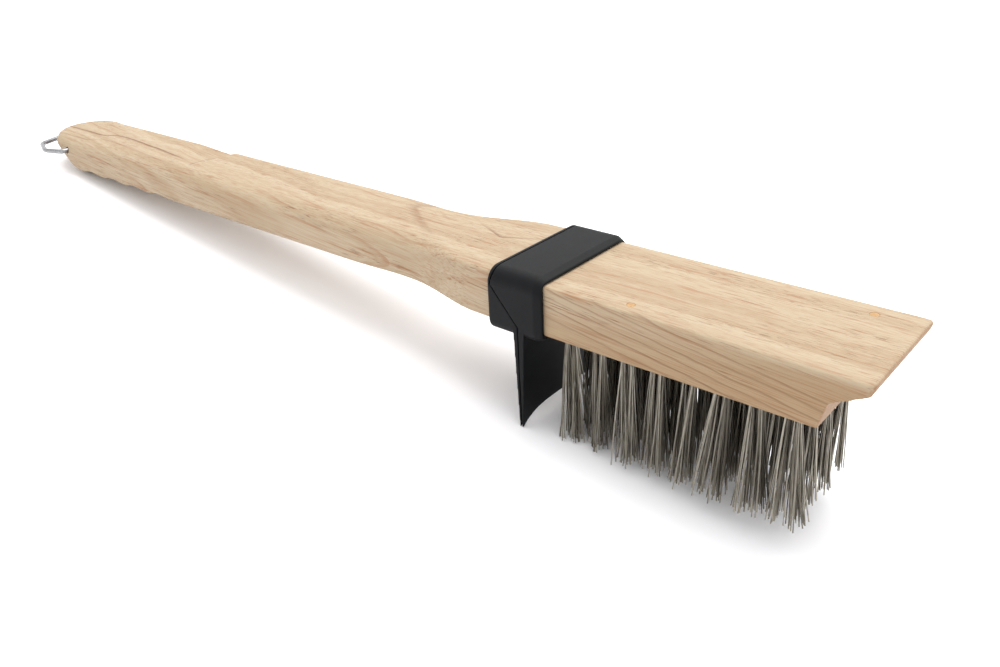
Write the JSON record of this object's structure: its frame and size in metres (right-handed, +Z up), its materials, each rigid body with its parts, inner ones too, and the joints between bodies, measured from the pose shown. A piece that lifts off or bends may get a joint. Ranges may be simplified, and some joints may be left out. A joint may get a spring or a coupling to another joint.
{
  "type": "grill cleaning brush",
  "caption": "Long wooden grill brush: straight grip with finger grooves, wide head with steel wire tufts below, black collar with a scraper blade, and a swinging wire hanging ring.",
  "frame": {"origin": "on the floor below the centre of the bounding box, with the brush resting on the scraper's two corners and the underside of the grip's end", "axes": "+X along the brush towards the nose, +Y across the head, +Z up from the floor; the brush itself is pitched nose-up by 6.67 degrees about Y"},
  "size_m": [0.4466, 0.0524, 0.0669],
  "materials": {
    "wood": "pale rubberwood, sanded and lightly oiled, streaks along the length",
    "black_coating": "satin black moulding with a very fine grain",
    "bristle_steel": "drawn steel wire, slightly oiled grey-brown",
    "ring_steel": "bright drawn wire",
    "screw_steel": "zinc-plated pan head",
    "plug": "amber filler plug, sanded flush"
  },
  "bodies": {
    "brush": {"wooden_body": "wood", "collar_front_shell": "black_coating", "collar_rear_shell": "black_coating", "collar_screw_near": "screw_steel", "collar_screw_far": "screw_steel", "top_plug_rear": "plug", "top_plug_front": "plug", "bristle_tuft_1_1": "bristle_steel", "bristle_tuft_1_2": "bristle_steel", "bristle_tuft_1_3": "bristle_steel", "bristle_tuft_1_4": "bristle_steel", "bristle_tuft_1_5": "bristle_steel", "bristle_tuft_1_6": "bristle_steel", "bristle_tuft_1_7": "bristle_steel", "bristle_tuft_1_8": "bristle_steel", "bristle_tuft_2_1": "bristle_steel", "bristle_tuft_2_2": "bristle_steel", "bristle_tuft_2_3": "bristle_steel", "bristle_tuft_2_4": "bristle_steel", "bristle_tuft_2_5": "bristle_steel", "bristle_tuft_2_6": "bristle_steel", "bristle_tuft_2_7": "bristle_steel", "bristle_tuft_2_8": "bristle_steel", "bristle_tuft_3_1": "bristle_steel", "bristle_tuft_3_2": "bristle_steel", "bristle_tuft_3_3": "bristle_steel", "bristle_tuft_3_4": "bristle_steel", "bristle_tuft_3_5": "bristle_steel", "bristle_tuft_3_6": "bristle_steel", "bristle_tuft_3_7": "bristle_steel", "bristle_tuft_3_8": "bristle_steel", "bristle_tuft_4_1": "bristle_steel", "bristle_tuft_4_2": "bristle_steel", "bristle_tuft_4_3": "bristle_steel", "bristle_tuft_4_4": "bristle_steel", "bristle_tuft_4_5": "bristle_steel", "bristle_tuft_4_6": "bristle_steel", "bristle_tuft_4_7": "bristle_steel", "bristle_tuft_4_8": "bristle_steel"},
    "ring": {"hanging_ring": "ring_steel"}
  },
  "joints": [
    {"name": "ring_swing", "type": "hinge", "parent": "brush", "child": "ring", "pos_m": [-0.1907, 0.0007, 0.01222], "axis": [0, 1, 0], "range_deg": [-126, 158]}
  ]
}
